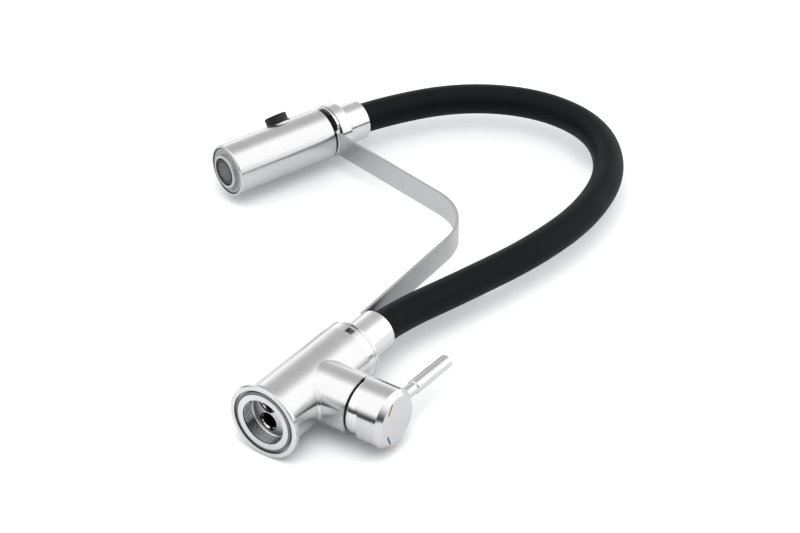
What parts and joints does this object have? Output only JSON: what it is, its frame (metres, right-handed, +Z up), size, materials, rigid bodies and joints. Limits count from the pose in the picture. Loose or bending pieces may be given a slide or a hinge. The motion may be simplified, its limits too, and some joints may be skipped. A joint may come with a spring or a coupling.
{
  "type": "kitchen mixer tap",
  "caption": "Single-lever kitchen mixer tap: side-cartridge body, swivelling ring, arched rubber hose, strip arm and docked spray head with a diverter knob.",
  "frame": {"origin": "centre of the base flange's underside, where the tap stands on the worktop", "axes": "+Z up along the body, +X to the cartridge and lever side, spray head towards -X"},
  "size_m": [0.2911, 0.0526, 0.4422],
  "materials": {
    "brushed_steel": "brushed stainless steel, fine grain",
    "polished_steel": "polished stainless steel",
    "spring_steel": "bright drawn steel",
    "brass": "machined brass",
    "ceramic": "ground white ceramic",
    "white_plastic": "moulded plastic",
    "dark_plastic": "moulded black plastic",
    "knob_plastic": "moulded black plastic",
    "grey_plastic": "moulded light grey plastic",
    "seal_rubber": "moulded rubber",
    "hose_rubber": "smooth matt black rubber",
    "red_enamel": "filled enamel",
    "blue_enamel": "filled enamel"
  },
  "bodies": {
    "base": {"body_shell": "brushed_steel", "base_seal": "seal_rubber", "water_block": "brass", "check_valve_hot": "white_plastic", "check_valve_cold": "white_plastic", "cartridge_gasket": "seal_rubber", "fixed_disc": "ceramic", "cartridge_casing": "white_plastic", "cartridge_nut": "brass", "dome_sleeve": "polished_steel", "top_plug": "brass", "swivel_seal_lower": "seal_rubber", "swivel_seal_upper": "seal_rubber", "swivel_bush": "white_plastic", "retaining_clip": "spring_steel"},
    "spout": {"swivel_ring": "brushed_steel", "lower_ferrule": "brushed_steel", "hose_tail": "brass", "hose_sleeve": "hose_rubber", "support_spring": "spring_steel", "water_hose": "hose_rubber", "arm_strip": "brushed_steel"},
    "rotor": {"rotor": "white_plastic", "pivot_pin": "spring_steel"},
    "handle": {"lever_stem": "spring_steel", "handle_cap": "brushed_steel", "lever_pin": "brushed_steel", "hot_mark": "red_enamel", "cold_mark": "blue_enamel"},
    "disc": {"moving_disc": "ceramic", "disc_carrier": "white_plastic"},
    "hose_end": {"upper_ferrule": "brushed_steel", "hose_collar": "brushed_steel", "hose_nipple": "brass", "nipple_seal": "seal_rubber", "head_clip": "spring_steel"},
    "head": {"head_shell": "brushed_steel", "rear_cap": "brushed_steel", "water_guide": "dark_plastic", "nozzle_plate": "grey_plastic", "aerator_ring": "polished_steel", "aerator_mesh": "dark_plastic"},
    "diverter": {"diverter_spindle": "brass", "diverter_seal": "seal_rubber", "knob_skirt": "knob_plastic", "diverter_knob": "knob_plastic"}
  },
  "joints": [
    {"name": "spout_swivel", "type": "hinge", "parent": "base", "child": "spout", "pos_m": [0, 0, 0.0845], "axis": [0, 0, 1], "continuous": true},
    {"name": "temperature_turn", "type": "hinge", "parent": "base", "child": "rotor", "pos_m": [0, 0, 0.0502], "axis": [1, 0, 0], "range_deg": [-43, 47]},
    {"name": "lever_lift", "type": "hinge", "parent": "rotor", "child": "handle", "pos_m": [0.042, 0, 0.0502], "axis": [0, 0.9994, -0.0349], "range_deg": [0, 20]},
    {"name": "disc_slide", "type": "slide", "parent": "rotor", "child": "disc", "axis": [0, 0.0349, 0.9994], "range_m": [0, 0.004]},
    {"name": "head_undock", "type": "slide", "parent": "spout", "child": "hose_end", "axis": [-0.9553, 0, 0.2957], "range_m": [0, 0.045], "deforming": ["hose_sleeve", "support_spring", "water_hose"]},
    {"name": "head_swivel", "type": "hinge", "parent": "hose_end", "child": "head", "pos_m": [-0.2046, 0, 0.2231], "axis": [0.2957, 0, 0.9553], "continuous": true},
    {"name": "diverter_turn", "type": "hinge", "parent": "head", "child": "diverter", "pos_m": [-0.18854, 0, 0.27497], "axis": [-0.614, -0.766, 0.1901], "range_deg": [0, 90]}
  ],
  "couplings": [
    {"joint": "disc_slide", "follows": "lever_lift", "m_per_rad": 0.0113}
  ]
}
